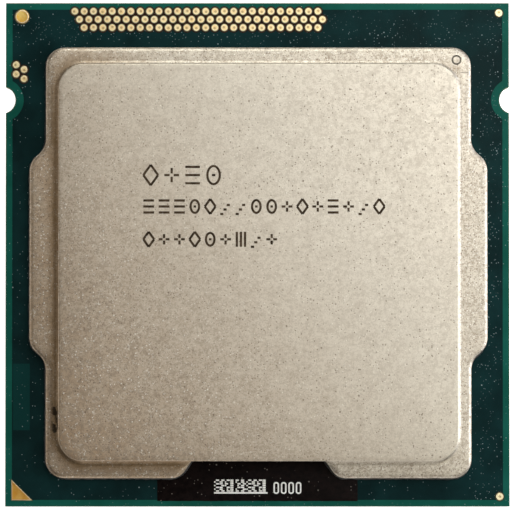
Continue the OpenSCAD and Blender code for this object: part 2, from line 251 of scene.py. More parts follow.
def sheet(bm, outline, low, high):
    """A flat sheet with one outline, between two heights."""
    loft(bm, [add_ring(bm, outline, low), add_ring(bm, outline, high)])


def grow(points, normals, distance):
    return [p + n * distance for p, n in zip(points, normals)]


def carved(body, cutter, operation="DIFFERENCE", overlapping=True):
    """The bmesh made by combining a body and a cutter, both in millimetres.

    overlapping is True where the solids within either of the two run into each other.
    """
    made = []
    for bm in (body, cutter):
        bmesh.ops.recalc_face_normals(bm, faces=bm.faces)
        mesh = bpy.data.meshes.new("cut")
        bm.to_mesh(mesh)
        bm.free()
        made.append(link("cut", mesh))
    modifier = made[0].modifiers.new("cut", "BOOLEAN")
    modifier.object = made[1]
    modifier.operation = operation
    modifier.solver = "EXACT"
    modifier.use_self = overlapping
    result = made[0].evaluated_get(bpy.context.evaluated_depsgraph_get())
    out = bmesh.new()
    out.from_mesh(result.data)
    for obj in made:
        mesh = obj.data
        bpy.data.objects.remove(obj)
        bpy.data.meshes.remove(mesh)
    bmesh.ops.remove_doubles(out, verts=out.verts, dist=1e-5)
    return out


def bar(bm, x0, y0, x1, y1, low, high, width):
    """A thin box of the given width laid from one point to another."""
    along = Vector((x1 - x0, y1 - y0))
    side = Vector((-along.y, along.x)).normalized() * width / 2
    a, b = Vector((x0, y0)), Vector((x1, y1))
    sheet(bm, [a - side, b - side, b + side, a + side], low, high)


def hoop(bm, x, y, rx, ry, low, high, width, steps=24):
    """A thin upright ring drawn about a point, flat on the face."""
    angles = [2 * math.pi * i / steps for i in range(steps)]
    outer, inner = (
        [Vector((x + a * math.cos(t), y + b * math.sin(t))) for t in angles]
        for a, b in ((rx, ry), (rx - width, ry - width))
    )
    tube(bm, [(inner, low), (outer, low), (outer, high), (inner, high)])


# ---- materials

class Material:
    """A Principled material being built, whose patterns are measured in millimetres."""

    def __init__(self, name, **settings):
        self.made = bpy.data.materials.new(name)
        self.made.use_nodes = True
        self.tree = self.made.node_tree
        self.shader = self.tree.nodes["Principled BSDF"]
        self.fill(self.shader, **settings)
        metres = self.node("TexCoord").outputs["Object"]
        scale = self.node("VectorMath", Vector=metres)
        scale.operation = "SCALE"
        scale.inputs["Scale"].default_value = 1 / MM
        self.place = scale.outputs[0]
        self.last_bump = None

    def put(self, socket, value):
        """Links a socket to another one, or sets it to a plain value."""
        if isinstance(value, bpy.types.NodeSocket):
            self.tree.links.new(value, socket)
        else:
            socket.default_value = value

    def fill(self, n, **values):
        """Puts a value or a socket into each input of a node that is named and isn't None."""
        for key, value in values.items():
            if value is not None:
                self.put(n.inputs[key.replace("_", " ")], value)
        return n

    def node(self, kind, **values):
        """Adds a node and fills its inputs."""
        return self.fill(self.tree.nodes.new("ShaderNode" + kind), **values)

    def stretched(self, scale, angle=0.0):
        """The place, scaled along X, Y and Z after a turn in the board's plane."""
        turn = (0, 0, math.radians(angle))
        return self.node("Mapping", Rotation=turn, Scale=scale, Vector=self.place).outputs[0]

    def noise(self, per_mm, detail=3.0, roughness=0.5, place=None, distortion=0.0):
        """Cloudy noise, from 0 to 1."""
        n = self.node("TexNoise", Scale=per_mm, Detail=detail, Roughness=roughness,
                      Distortion=distortion, Vector=place or self.place)
        return n.outputs["Fac"]

    def cells(self, per_mm, output="Distance", place=None):
        """Distance to, or random colour of, scattered cell centres."""
        n = self.node("TexVoronoi", Scale=per_mm, Vector=place or self.place)
        return n.outputs[output]

    def band(self, value, low, high, to_low=0.0, to_high=1.0):
        """Maps value from low..high to to_low..to_high, smoothly and clamped."""
        n = self.node("MapRange", Value=value, From_Min=low, From_Max=high,
                      To_Min=to_low, To_Max=to_high)
        n.interpolation_type = "SMOOTHSTEP"
        return n.outputs[0]

    def math(self, operation, a, b=0.0):
        n = self.node("Math")
        n.operation = operation
        self.put(n.inputs[0], a)
        self.put(n.inputs[1], b)
        return n.outputs[0]

    def axis(self, letter):
        """One coordinate of the place, in millimetres."""
        return self.node("SeparateXYZ", Vector=self.place).outputs[letter]

    def mix(self, share, a, b):
        """Colour a where share is 0, and colour b where it is 1."""
        n = self.node("Mix")
        n.data_type = "RGBA"
        self.put(n.inputs[0], share)
        self.put(n.inputs[6], a)
        self.put(n.inputs[7], b)
        return n.outputs[2]

    def specks(self, per_mm, size, share):
        """1 inside small round specks, on a share of the cells, and 0 elsewhere.

        share is a number, or a socket where it changes from place to place.
        """
        near = self.band(self.cells(per_mm), size * per_mm, 0.6 * size * per_mm)
        split = self.node("SeparateColor", Color=self.cells(per_mm, output="Color"))
        chosen = self.math("LESS_THAN", split.outputs["Red"], share)
        return self.math("MULTIPLY", near, chosen)

    def streaks(self, per_mm, width):
        """1 along short thin winding lines: parts of a noise field's level lines."""
        off_level = self.math("ABSOLUTE", self.math("SUBTRACT", self.noise(per_mm, 1.0), 0.5))
        line = self.band(off_level, width, 0.4 * width)
        parts = self.band(self.noise(0.7 * per_mm, 1.0), 0.5, 0.56)
        return self.math("MULTIPLY", line, parts)

    def painted(self, name):
        """A value stored on the mesh's vertices."""
        n = self.node("Attribute")
        n.attribute_name = name
        return n.outputs["Fac"]

    def inside(self, letter, low, high, soft):
        """1 where a coordinate is between low and high, fading over a soft margin."""
        value = self.axis(letter)
        rise = self.band(value, low, low + soft)
        fall = self.band(value, high, high - soft)
        return self.math("MULTIPLY", rise, fall)

    def bump(self, height, depth):
        """Adds relief: height runs from 0 to 1, and depth is in millimetres."""
        n = self.node("Bump", Distance=depth * MM, Height=height, Normal=self.last_bump)
        self.last_bump = n.outputs[0]

    def finish(self, color, roughness):
        """Sets the shader's colour, roughness and relief, and gives the material."""
        self.fill(self.shader, Base_Color=color, Roughness=roughness, Normal=self.last_bump)
        return self.made


def tint(r, g, b):
    """A linear colour from an ordinary screen colour of 0 to 255."""
    return tuple(((c / 255 + 0.055) / 1.055) ** 2.4 for c in (r, g, b)) + (1.0,)


# Colours of the nickel plate, of what lies on it, and of the painted shade on it
NICKEL = (0.635, 0.582, 0.495, 1)
NICKEL_CLOUD = (0.595, 0.542, 0.46, 1)
# Brown tarnish, laid on together with the painted shade that darkens the lower left
TARNISH_AND_SHADE = (0.40, 0.25, 0.13, 1)
SPECKLE = (0.31, 0.25, 0.19, 1)
PIT = (0.12, 0.08, 0.05, 1)
BRIGHT_SPECK = (0.80, 0.78, 0.72, 1)
BRIGHT_STREAK = (0.78, 0.74, 0.66, 1)
# Brown dirt with painted shade, along the groove by the plateau's wall and towards the left
GROOVE_DIRT_AND_SHADE = (0.19, 0.115, 0.045, 1)
# Black for the stain in the left groove, and for the painted shade in the struck ring's groove
BLACK_STAIN_AND_SHADE = (0.02, 0.015, 0.01, 1)

# The black stain in the left groove: its range along X and along Y
STAIN_X = (-15.3, -14.6)
STAIN_Y = (-13.5, -10.9)


def nickel_plate():
    """Matt nickel over copper: fine grain, pits, brown tarnish with painted shade to the lower
    left, dirt with painted shade along the wall's groove, a stain in the left groove and painted
    shade in the struck ring.
    """
    m = Material("nickel_plate", Metallic=1.0)
    fine = m.noise(5.5, roughness=0.6, distortion=1.4)
    grain = m.noise(3.6, roughness=0.6)
    coarse = m.noise(0.9)
    rough = m.painted("rough")
    share = m.band(rough, 0.0, 1.0, 0.34, 0.65)
    pits = m.math("MAXIMUM", m.specks(4.4, 0.06, share), m.specks(1.5, 0.085, 0.22))
    bright = m.math("MAXIMUM", m.specks(3.9, 0.06, share), m.specks(1.9, 0.07, 0.12))
    streaks = m.streaks(3.4, 0.016)
    uneven = m.band(coarse, 0.3, 0.7, 0.8, 1.0)
    # Tarnish and painted shade: browner and darker to the lower left
    tarnish_and_shade = m.math("MULTIPLY", m.painted("tarnish_and_shade"), uneven)
    # Dirt and painted shade along the wall's groove
    groove_dirt_and_shade = m.math("MULTIPLY", m.painted("groove_dirt_and_shade"), uneven)
    stain = m.math("MULTIPLY", m.inside("X", *STAIN_X, 0.25), m.inside("Y", *STAIN_Y, 0.3))
    stain = m.math("MULTIPLY", stain, m.band(m.noise(3.0), 0.4, 0.52))
    # The real stain, and the painted shade on the floor of the struck ring
    stain_and_groove_shade = m.math("MAXIMUM", stain, m.painted("struck_groove_shade"))
    handled = m.math("MULTIPLY", rough, 0.75)
    # Specks and streaks show more strongly where the tarnish and painted shade lie, and on the
    # flange
    strength = m.math("MAXIMUM", m.band(tarnish_and_shade, 0.0, 0.6, 0.3, 0.85), handled)
    speckle = m.math("MAXIMUM", m.band(fine, 0.5, 0.6), m.band(grain, 0.5, 0.62, 0.0, 0.6))
    color = m.mix(m.band(coarse, 0.3, 0.7), NICKEL, NICKEL_CLOUD)
    for amount, factor, over in (
        (tarnish_and_shade, 0.9, TARNISH_AND_SHADE), (speckle, strength, SPECKLE), (pits, 0.6, PIT),
        (bright, strength, BRIGHT_SPECK), (streaks, strength, BRIGHT_STREAK),
        (groove_dirt_and_shade, 0.85, GROOVE_DIRT_AND_SHADE), (stain_and_groove_shade, 0.9, BLACK_STAIN_AND_SHADE),
    ):
        color = m.mix(m.math("MULTIPLY", amount, factor), color, over)
    m.bump(fine, 0.0015)
    m.bump(m.math("SUBTRACT", bright, pits), 0.005)
    return m.finish(color, m.band(grain, 0.3, 0.7, 0.40, 0.48))


# The paler panel under the mask, and the strips where dust has gathered
PANEL_X = (-18.2, -16.9)
PANEL_Y = (-13.1, -8.1)
DUSTY_X = (15.8, 18.4)
DUSTY_Y = (15.3, 18.0)
DUST = (0.34, 0.44, 0.46, 1)


def solder_mask(name, low, high):
    """Satin green mask with faint copper shapes beneath it and pale dust lying on it."""
    m = Material(name, Specular_IOR_Level=0.02)
    traces = m.cells(0.55, place=m.stretched((1.0, 0.35, 1.0), 45.0))
    traces = m.band(traces, 0.28, 0.34)
    panel = m.math("MULTIPLY", m.inside("X", *PANEL_X, 0.06), m.inside("Y", *PANEL_Y, 0.06))
    cloud = m.noise(0.4, detail=4.0)
    dusty = m.math("MAXIMUM", m.inside("Y", *DUSTY_Y, 0.9), m.inside("X", *DUSTY_X, 0.9))
    share = m.math("ADD", m.math("MULTIPLY", dusty, 0.55), 0.18)
    dust = m.math("MAXIMUM", m.specks(5.2, 0.04, share), m.specks(1.7, 0.06, share))
    dust = m.math("MULTIPLY", dust, m.band(m.noise(0.5, detail=2.0), 0.4, 0.6, 0.2, 0.65))
    color = m.mix(m.band(cloud, 0.3, 0.7), low, high)
    color = m.mix(m.math("MULTIPLY", traces, 0.15), color, high)
    color = m.mix(m.math("MULTIPLY", panel, 0.6), color, tint(16, 62, 60))
    color = m.mix(dust, color, DUST)
    m.bump(traces, 0.002)
    m.bump(dust, 0.008)
    m.bump(m.noise(7.0), 0.002)
    return m.finish(color, m.band(cloud, 0.3, 0.7, 0.2, 0.26))


def gold(name, pale, deep):
    """Gold plate, paler where it is worn and where the pads' rims carry a painted highlight, and a
    little browner where it is stained.
    """
    m = Material(name, Metallic=1.0)
    wear_and_highlight = m.noise(1.6)
    stain = m.noise(5.0, detail=2.0)
    color = m.mix(m.band(wear_and_highlight, 0.35, 0.65), deep, pale)
    color = m.mix(m.band(stain, 0.66, 0.78, 0.0, 0.4), color, (0.45, 0.28, 0.14, 1))
    color = m.mix(m.math("MULTIPLY", m.painted("mark"), 0.75), color, (0.22, 0.12, 0.05, 1))
    # Paler where the raised rims carry a painted highlight
    color = m.mix(m.painted("wear_and_highlight"), color, (0.90, 0.80, 0.62, 1))
    m.bump(m.noise(14.0), 0.002)
    return m.finish(color, m.band(wear_and_highlight, 0.3, 0.7, 0.36, 0.48))


def printed(name, low, high, roughness, dust_share=0.2):
    """Matt ink with an uneven surface and dust lying on it."""
    m = Material(name, Specular_IOR_Level=0.05)
    cloud = m.noise(3.0, detail=4.0)
    dust = m.math("MAXIMUM", m.specks(3.6, 0.05, dust_share), m.specks(1.6, 0.07, dust_share))
    color = m.mix(m.band(cloud, 0.35, 0.65), low, high)
    color = m.mix(m.math("MULTIPLY", dust, 0.6), color, (0.30, 0.27, 0.24, 1))
    m.bump(cloud, 0.003)
    return m.finish(color, m.band(cloud, 0.3, 0.7, roughness - 0.06, roughness + 0.06))


def plain(name, low, high, per_mm, roughness, metallic=0.0, relief=0.003):
    """A mottled material for the parts that show at an edge or underneath."""
    m = Material(name, Metallic=metallic)
    cloud = m.noise(per_mm, detail=4.0, roughness=0.6)
    m.bump(m.noise(3 * per_mm), relief)
    color = m.mix(m.band(cloud, 0.3, 0.7), low, high)
    return m.finish(color, m.band(cloud, 0.3, 0.7, roughness - 0.07, roughness + 0.07))


def laminate():
    """Glass-cloth laminate: pale fibre layers stacked through its thickness."""
    m = Material("laminate")
    layers = m.noise(1.0, detail=2.0, place=m.stretched((0.5, 0.5, 22.0)))
    fibres = m.noise(9.0, place=m.stretched((1.0, 1.0, 0.3)))
    color = m.mix(m.band(layers, 0.4, 0.6), (0.20, 0.21, 0.09, 1), (0.44, 0.43, 0.24, 1))
    color = m.mix(m.band(fibres, 0.45, 0.7, 0.0, 0.5), color, (0.10, 0.11, 0.05, 1))
    m.bump(layers, 0.01)
    return m.finish(color, m.band(fibres, 0.3, 0.7, 0.6, 0.8))


MATERIALS = {
    "nickel": nickel_plate(),
    "mask_low": solder_mask("mask_over_laminate", tint(16, 76, 65), tint(23, 89, 78)),
    "mask_high": solder_mask("mask_over_copper", tint(12, 33, 34), tint(17, 46, 47)),
    "pad_surround": printed("pad_surround", tint(44, 16, 8), tint(62, 28, 14), 0.5, 0.05),
    "pale_gold": gold("pale_gold", (0.87, 0.74, 0.43, 1), (0.85, 0.64, 0.31, 1)),
    "cream_gold": gold("cream_gold", (0.88, 0.79, 0.52, 1), (0.86, 0.72, 0.40, 1)),
    "deep_gold": gold("deep_gold", (0.76, 0.55, 0.17, 1), (0.72, 0.42, 0.08, 1)),
    "corner_gold": gold("corner_gold", (0.70, 0.41, 0.10, 1), (0.66, 0.32, 0.05, 1)),
    "black_ink": printed("black_ink", tint(12, 7, 7), tint(22, 15, 14), 0.5, 0.34),
    "white_print": printed("white_print", tint(238, 238, 234), tint(255, 255, 252), 0.6, 0.05),
    "laser_mark": printed("laser_mark", tint(52, 42, 32), tint(82, 68, 54), 0.7, 0.1),
    "laminate": laminate(),
    "buildup": plain("buildup", (0.05, 0.09, 0.05, 1), (0.10, 0.15, 0.08, 1), 2.0, 0.55),
    "copper": plain("copper", (0.80, 0.40, 0.25, 1), (0.60, 0.25, 0.14, 1), 3.0, 0.3, 1.0),
    "solder": plain("solder", (0.62, 0.62, 0.60, 1), (0.42, 0.42, 0.41, 1), 4.0, 0.32, 1.0),
    "ceramic": plain("ceramic", (0.36, 0.25, 0.15, 1), (0.46, 0.33, 0.21, 1), 5.0, 0.45),
    "underfill": plain("underfill", (0.03, 0.035, 0.05, 1), (0.06, 0.06, 0.08, 1), 3.0, 0.35),
    "silicon": plain("silicon", (0.25, 0.26, 0.30, 1), (0.33, 0.34, 0.38, 1), 1.0, 0.15, 0.8),
    "paste": plain("thermal_paste", (0.55, 0.55, 0.54, 1), (0.72, 0.72, 0.70, 1), 1.5, 0.5),
    "sealant": plain("sealant", (0.02, 0.02, 0.02, 1), (0.05, 0.05, 0.05, 1), 2.0, 0.5),
}


# ---- heat spreader

# Radii of the plateau's edge, the rim's lip and the wall's fillet
EDGE_R = 0.1
LIP_R = 0.15
FILLET_R = 0.45
# The rim's width and fall, and how far the flange sags at its outer edge
RIM_W = 0.27
RIM_DROP = 0.1
DROOP = 0.035
# The plateau's top: a slight crown, and a strip that rolls down to the edge
CROWN = 0.012
ROLL_W = 3.2
ROLL_DROP = 0.045
# A flange narrower than this is the gap, and the dirt and painted shade fade out over this many
# passes at it
GAP_FLANGE = 0.3
GAP_FADE = 40
# Brown dirt and painted shade: their reach beyond the fillet, and their shares in the painted
# shade to the left and at the corner
DIRT_AND_SHADE_W = 0.7
PAINTED_SHADE_SHARE = 0.9
DIRT_CORNER = 0.35
# The left is shaded: X against Y, and the distance over which the shade grows
SHADE_Y = 0.45
SHADE_W = 11
# The struck ring's groove: its depth and how much wider it is than the CAD's; then the line
GROOVE_DEPTH = 0.2
GROOVE_WIDEN = 1.35
LINE_OFFSET = (0.3, -0.95)
LINE_LENGTH = 0.6
LINE_W = 0.06


def mount_height(name):
    """Height of one of the record's mounts, in millimetres."""
    named = (m for m in frame["record"]["mounts"] if m["name"] == name)
    return next(named)["pos_m"][2] / MM


def wall_stations(wall, flange):
    """Close-set points round the plateau's wall, closer still where the flange steps."""
    points = subdivided(wall, 0.18)
    for _ in range(3):
        normals = outward(points)
        reaches = [reach(p, n, flange) for p, n in zip(points, normals)]
        out = []
        for i, p in enumerate(points):
            following = points[(i + 1) % len(points)]
            step = abs(reaches[i] - reaches[(i + 1) % len(points)])
            out.append(p)
            if step > 0.25 and (following - p).length > 0.02:
                out.append(p.lerp(following, 0.5))
        points = out
    return points


def softened(values, passes):
    """The values round a closed outline, each averaged with its neighbours over and over."""
    for _ in range(passes):
        before, after = values[-1:] + values[:-1], values[1:] + values[:1]
        values = [(a + b + c) / 3 for a, b, c in zip(before, values, after)]
    return values


# Tarnish, mixed with painted shade, grows to the left and towards the bottom: X and Y slopes, then
# a quadratic's factors
TARNISH_AND_SHADE_SLOPE = Vector((-0.023, -0.0157))
TARNISH_AND_SHADE_CURVE = (0.12, 0.85, 0.95)
TARNISH_AND_SHADE_MOST = 0.9
FLANGE_TARNISH_AND_SHADE = 0.72


def top_tarnish_and_shade(p):
    """Tarnish with painted shade at a place on the plateau's top, from 0 to 1."""
    lean = TARNISH_AND_SHADE_SLOPE.x * p.x + TARNISH_AND_SHADE_SLOPE.y * p.y
    a, b, c = TARNISH_AND_SHADE_CURVE
    return min(TARNISH_AND_SHADE_MOST, max(0.0, a + b * lean + c * lean ** 2))


class Skin:
    """The spreader's skin, made ring by ring from its pocket, out round its foot and over it."""

    def __init__(self, wall, flange, ledge):
        self.ledge = ledge
        self.stations = wall_stations(wall, flange)
        self.normals = outward(self.stations)
        self.middle = sum(self.stations, Vector((0, 0))) / len(self.stations)
        self.widths = [reach(p, n, flange) for p, n in zip(self.stations, self.normals)]
        self.sizes = [min(1.0, w / (LIP_R + RIM_W + FILLET_R)) for w in self.widths]
        self.shade = [min(1.0, max(0.05, -(p.x + SHADE_Y * p.y) / SHADE_W)) for p in self.stations]
        corner = [max(0.0, (n.x + n.y) / math.sqrt(2)) ** 20 for n in self.normals]
        flanged = softened([1.0 if w > GAP_FLANGE else 0.0 for w in self.widths], GAP_FADE)
        shares = zip(flanged, self.shade, corner)
        # Dirt and painted shade: mostly a painted shade growing to the left and the bottom, plus a
        # dark line at the corner
        self.dirt_and_shade = [f * (PAINTED_SHADE_SHARE * s + DIRT_CORNER * c) for f, s, c in shares]
        self.rings = []
        self.bm = bmesh.new()
        layers = self.bm.verts.layers.float
        self.groove_dirt_and_shade = layers.new("groove_dirt_and_shade")
        self.tarnish_and_shade = layers.new("tarnish_and_shade")
        self.rough = layers.new("rough")
        layers.new("struck_groove_shade")

    def around(self, offsets, z, stain=0.0, brown=0.0):
        """Adds a ring at the given distances out from the plateau's wall."""
        points = [p + n * o for p, n, o in zip(self.stations, self.normals, offsets)]
        self.rings.append(add_ring(self.bm, points, z))
        for i, v in enumerate(self.rings[-1]):
            # The groove layer gets the dirt and painted shade
            v[self.groove_dirt_and_shade] = self.dirt_and_shade[i] * (stain[i] if isinstance(stain, list) else stain)
            # The flange's tarnish follows the painted shade that grows to the left and the bottom
            flange_tarnish_and_shade = FLANGE_TARNISH_AND_SHADE * self.shade[i]
            v[self.tarnish_and_shade] = brown * flange_tarnish_and_shade + (1 - brown) * top_tarnish_and_shade(v.co)
            v[self.rough] = 1.0 if v.co.z < self.ledge + 0.1 else 0.0

    def pocket(self, outline, ceiling, foot):
        """The flat ceiling of the pocket, its wall, and the face that meets the sealant."""
        rays = [(p - self.middle).normalized() for p in self.stations]
        inner = [self.middle + d * reach(self.middle, d, outline) for d in rays]
        self.rings += [add_ring(self.bm, inner, ceiling), add_ring(self.bm, inner, foot)]
        # The foot's ring gets dirt and painted shade
        self.around(self.widths, foot, 0.6, 1.0)

    def rim(self, steps=6):
        """The lip at the flange's outer wall, then the rim that rises inwards from it."""
        outer = list(zip(self.widths, self.sizes))
        lip_end = math.atan(2 * RIM_DROP / RIM_W)
        for i in range(steps):
            tilt = math.pi / 2 + (lip_end - math.pi / 2) * i / (steps - 1)
            offsets = [w - LIP_R * s * (1 - math.sin(tilt)) for w, s in outer]
            fall = RIM_DROP + DROOP + LIP_R * (math.cos(lip_end) - math.cos(tilt))
            self.around(offsets, [self.ledge - fall * s for s in self.sizes], 0.0, 0.7)
        lip = LIP_R * (1 - math.sin(lip_end))
        for i in range(1, steps + 1):
            out = 1 - i / steps
            offsets = [w - (lip + RIM_W * (1 - out)) * s for w, s in outer]
            fall = DROOP + RIM_DROP * out ** 2
            self.around(offsets, [self.ledge - fall * s for s in self.sizes], 0.0, 0.8)
        return [w - (lip + RIM_W) * s for w, s in outer]

    def flange(self, rim_end):
        """The sagging flange, from the rim in to the fillet, with dirt and painted shade growing
        towards the fillet.
        """
        for share in (0.2, 0.4, 0.6, 0.75, 0.9):
            offsets = [r * (1 - share) + FILLET_R * s * share for r, s in zip(rim_end, self.sizes)]
            heights = [self.ledge - DROOP * s * (1 - share) ** 2 for s in self.sizes]
            beyond = [o - FILLET_R * s for o, s in zip(offsets, self.sizes)]
            self.around(offsets, heights, [max(0.0, 1 - b / DIRT_AND_SHADE_W) for b in beyond], 1.0)

    def fillet(self):
        """The fillet that turns up from the flange to the plateau's wall."""
        for angle in range(90, -1, -15):
            a = math.radians(angle)
            offsets = [FILLET_R * s * (1 - math.cos(a)) for s in self.sizes]
            heights = [self.ledge + FILLET_R * s * (1 - math.sin(a)) for s in self.sizes]
            # Dirt and painted shade darken the fillet most where it meets the flange
            self.around(offsets, heights, 0.4 + 0.6 * angle / 90, 1.0)

    def edge(self, top):
        """The rounded edge between the wall and the plateau's top."""
        for angle in range(0, 91, 15):
            a = math.radians(angle)
            inset = -EDGE_R * (1 - math.cos(a))
            z = top - CROWN - ROLL_DROP - EDGE_R * (1 - math.sin(a))
            # The edge's lower rings get a little dirt and painted shade, and the flange's tarnish
            # with painted shade
            edge_shade_share = 1 - angle / 90
            self.around([inset] * len(self.stations), z, 0.15 * edge_shade_share, edge_shade_share)

    def top(self, top):
        """The plateau's top, in rings that close in on its middle."""
        edge = [p - n * EDGE_R for p, n in zip(self.stations, self.normals)]
        across = [abs(p.x - self.middle.x) for p in edge if abs(p.y - self.middle.y) < 1.0]
        half = min(across)
        shares = [1 - 0.3 * i / half for i in range(1, 14)]
        shares += [shares[-1] * (1 - i / 12) for i in range(1, 12)]
        for share in shares:
            points = [self.middle.lerp(p, share) for p in edge]
            crown = CROWN * (1 - share ** 2)
            rolled = max(0.0, 1 - (1 - share) * half / ROLL_W) ** 2 * ROLL_DROP
            level = top - CROWN - rolled
            heights = [level + crown * (0.8 + 0.2 * noise.noise((*p, 0.0))) for p in points]
            self.rings.append(add_ring(self.bm, points, heights))
            for v in self.rings[-1]:
                # Tarnish with painted shade, darker towards the lower left
                v[self.tarnish_and_shade] = top_tarnish_and_shade(v.co)


def heat_spreader():
    """The spreader, whose wall, flange, pocket and levels are those of the CAD node."""
    foot = height("heat_spreader", False)
    top = height("heat_spreader", True)
    ledge = mount_height("load_ear_right")
    flange, pocket = cad_outlines("heat_spreader", foot)[:2]
    plateau = cad_outlines("heat_spreader", top)[0]
    body = welded("heat_spreader")
    wall_x = max(v.co.x for v in body.verts if v.co.z > (ledge + top) / 2)
    body.free()
    wall = grow(plateau, outward(plateau), wall_x - max(p.x for p in plateau))
    skin = Skin(wall, flange, ledge)
    skin.pocket(pocket, height("thermal_paste", True), foot)
    skin.flange(skin.rim())
    skin.fillet()
    skin.edge(top)
    skin.top(top)
    loft(skin.bm, skin.rings)
    bmesh.ops.remove_doubles(skin.bm, verts=skin.bm.verts, dist=5e-4)
    bmesh.ops.dissolve_degenerate(skin.bm, edges=skin.bm.edges, dist=1e-5)
    cutter, centre, r = coin_marks(ledge)
    bm = carved(skin.bm, cutter, overlapping=False)
    struck_groove_shade = bm.verts.layers.float["struck_groove_shade"]
    # The floor of the struck ring gets a painted shade
    for v in bm.verts:
        depth = (ledge - v.co.z) / GROOVE_DEPTH
        if 0.6 < depth < 1.5 and (v.co.xy - centre).length < r + 0.02:
            v[struck_groove_shade] = 0.8
    return piece("heat_spreader_shell", bm, "nickel_plate", "heat_spreader", look="nickel")


def coin_marks(ledge):
    """The cutter for the flange's ring mark and the line struck below it, and the ring's place."""
    deep = ledge - GROOVE_DEPTH
    clear = ledge + 0.4
    circles = [o for o in cad_outlines("heat_spreader", ledge) if loop_area(o) < 1.0]
    outer, inner = circles[0], circles[-1]
    centre = sum(outer, Vector((0, 0))) / len(outer)
    r = (outer[0] - centre).length
    cutter = bmesh.new()
    width = GROOVE_WIDEN * (r - (inner[0] - centre).length)
    hoop(cutter, centre.x, centre.y, r, r, deep, clear, width, 40)
    x, y = centre + Vector(LINE_OFFSET)
    bar(cutter, x, y, x + LINE_LENGTH, y, deep, clear, LINE_W)
    return cutter, centre, r


heat_spreader()


# ---- sealant, and a painted shadow, at the flange's foot

SQUEEZE_OUT = 0.1
# How much wider it is on the left and the bottom, as a painted shadow
SHADOW_WIDEN = 0.7


def sealant_and_shadow_line():
    """The dark sealant that shows as a thin line all round the foot of the spreader, wider on the
    left and the bottom as a painted shadow.
    """
    foot = height("heat_spreader", False)
    board = height("solder_mask_top", True)
    flange = subdivided(cad_outlines("heat_spreader", foot)[0], 0.2)
    normals = outward(flange)
    chance = random.Random(5)
    bulge_and_shadow = []
    for n in normals:
        # Wider on the left and the bottom: a painted shadow
        shadow_wider = 1 + SHADOW_WIDEN * max(0.0, -n.x, -n.y)
        bulge_and_shadow.append(SQUEEZE_OUT * shadow_wider * (0.8 + 0.4 * chance.random()))
    section = [(-1.0, board), (1.0, board), (0.85, board + 0.04), (0.3, foot), (-1.0, foot)]
    bm = bmesh.new()
    places = list(zip(flange, normals, bulge_and_shadow))
    tube(bm, [([p + n * b * share for p, n, b in places], z) for share, z in section])
    return piece("sealant_and_shadow_line", bm, "sealant", look="sealant")


sealant_and_shadow_line()


# ---- laser marks on the plateau

STROKE = 0.17
MARK_LIFT = 0.004
MARK_THICKNESS = 0.003
# Each row's start, end, foot and height, and the seed for its signs
LASER_ROWS = [(-8.35, -2.0, 5.0, 1.5, 1), (-8.35, 9.4, 2.9, 1.1, 2), (-8.35, 2.1, 0.5, 1.1, 3)]
SIGN_W = 0.72
SIGN_PITCH = 1.42
# Strokes of the signs, from corner (0, 0) to corner (1, 1) of a box; the third is in an oval
SIGNS = [
    [(0, 0.1, 1, 0.1), (0, 0.5, 1, 0.5), (0, 0.9, 1, 0.9)],
    [(0.5, 0, 1, 0.5), (1, 0.5, 0.5, 1), (0.5, 1, 0, 0.5), (0, 0.5, 0.5, 0)],
    [(0.38, 0.5, 0.62, 0.5)],
    [(0.12, 0, 0.12, 1), (0.5, 0, 0.5, 1), (0.88, 0, 0.88, 1)],
    [(0.5, 0.15, 0.5, 0.42), (0.5, 0.58, 0.5, 0.85), (0, 0.5, 0.36, 0.5), (0.64, 0.5, 1, 0.5)],
    [(0, 0, 0.3, 0), (0.3, 0.3, 0.6, 0.3), (0.6, 0.6, 0.9, 0.6)],
]
OVAL_SIGN = 2


def sign(bm, kind, x, y, w, h, low, high):
    """One abstract sign in a box at x, y: bars, steps, ovals and crosses, never a letter."""
    if kind == OVAL_SIGN:
        hoop(bm, x + w / 2, y + h / 2, w / 2, h / 2, low, high, STROKE)
    for x0, y0, x1, y1 in SIGNS[kind]:
        bar(bm, x + w * x0, y + h * y0, x + w * x1, y + h * y1, low, high, STROKE)


def laser_marks():
    """Three rows of abstract signs, where the real part carries its laser-cut markings."""
    low = height("heat_spreader", True) + MARK_LIFT
    high = low + MARK_THICKNESS
    bm = bmesh.new()
    for start, end, y, h, seed in LASER_ROWS:
        chance = random.Random(seed)
        w = SIGN_W * h
        x = start
        while x + w <= end + 1e-6:
            sign(bm, chance.randrange(len(SIGNS)), x, y, w, h, low, high)
            x += w * SIGN_PITCH
    return piece("laser_marks", bm, "black_ink", look="laser_mark", smooth=False)


laser_marks()


# ---- top mask

MASK_STEP = 0.012
SURROUND_STEP = 0.004
EDGE_GAP = 0.06
# Widths of the dark surrounds. The mask clears pads by PAD_GAP, and the triangle's sharp
# corners move out TRIANGLE_TIP times as far as its sides
PAD_NODES = {
    "test_pads_top_edge": 0.11,
    "test_pads_side": 0.1,
    "large_round_pad": 0.07,
    "alignment_pads": 0.07,
}
TRIANGLE_HALO = 0.05
TRIANGLE_TIP = 2.4
PAD_GAP = 0.04


def openings(low, high, mask_edges):
    """Cutters at each pad: its real opening in the mask, or the wider dark surround."""
    bm = bmesh.new()
    for node, halo in PAD_NODES.items():
        extra = PAD_GAP if mask_edges else halo
        for lo, hi in cad_boxes(node):
            x, y = middle(lo, hi)
            circle = arc(x, y, (hi.x - lo.x) / 2 + extra, 0, 360, 32)[:-1]
            sheet(bm, circle, low, high)
    lo, hi = cad_boxes("pin_one_triangle")[0]
    extra = PAD_GAP if mask_edges else TRIANGLE_HALO
    near = lo.xy - Vector((extra, extra))
    far = hi.xy + TRIANGLE_TIP * Vector((extra, extra))
    sheet(bm, [near, Vector((far.x, near.y)), Vector((near.x, far.y))], low, high)
    return bm


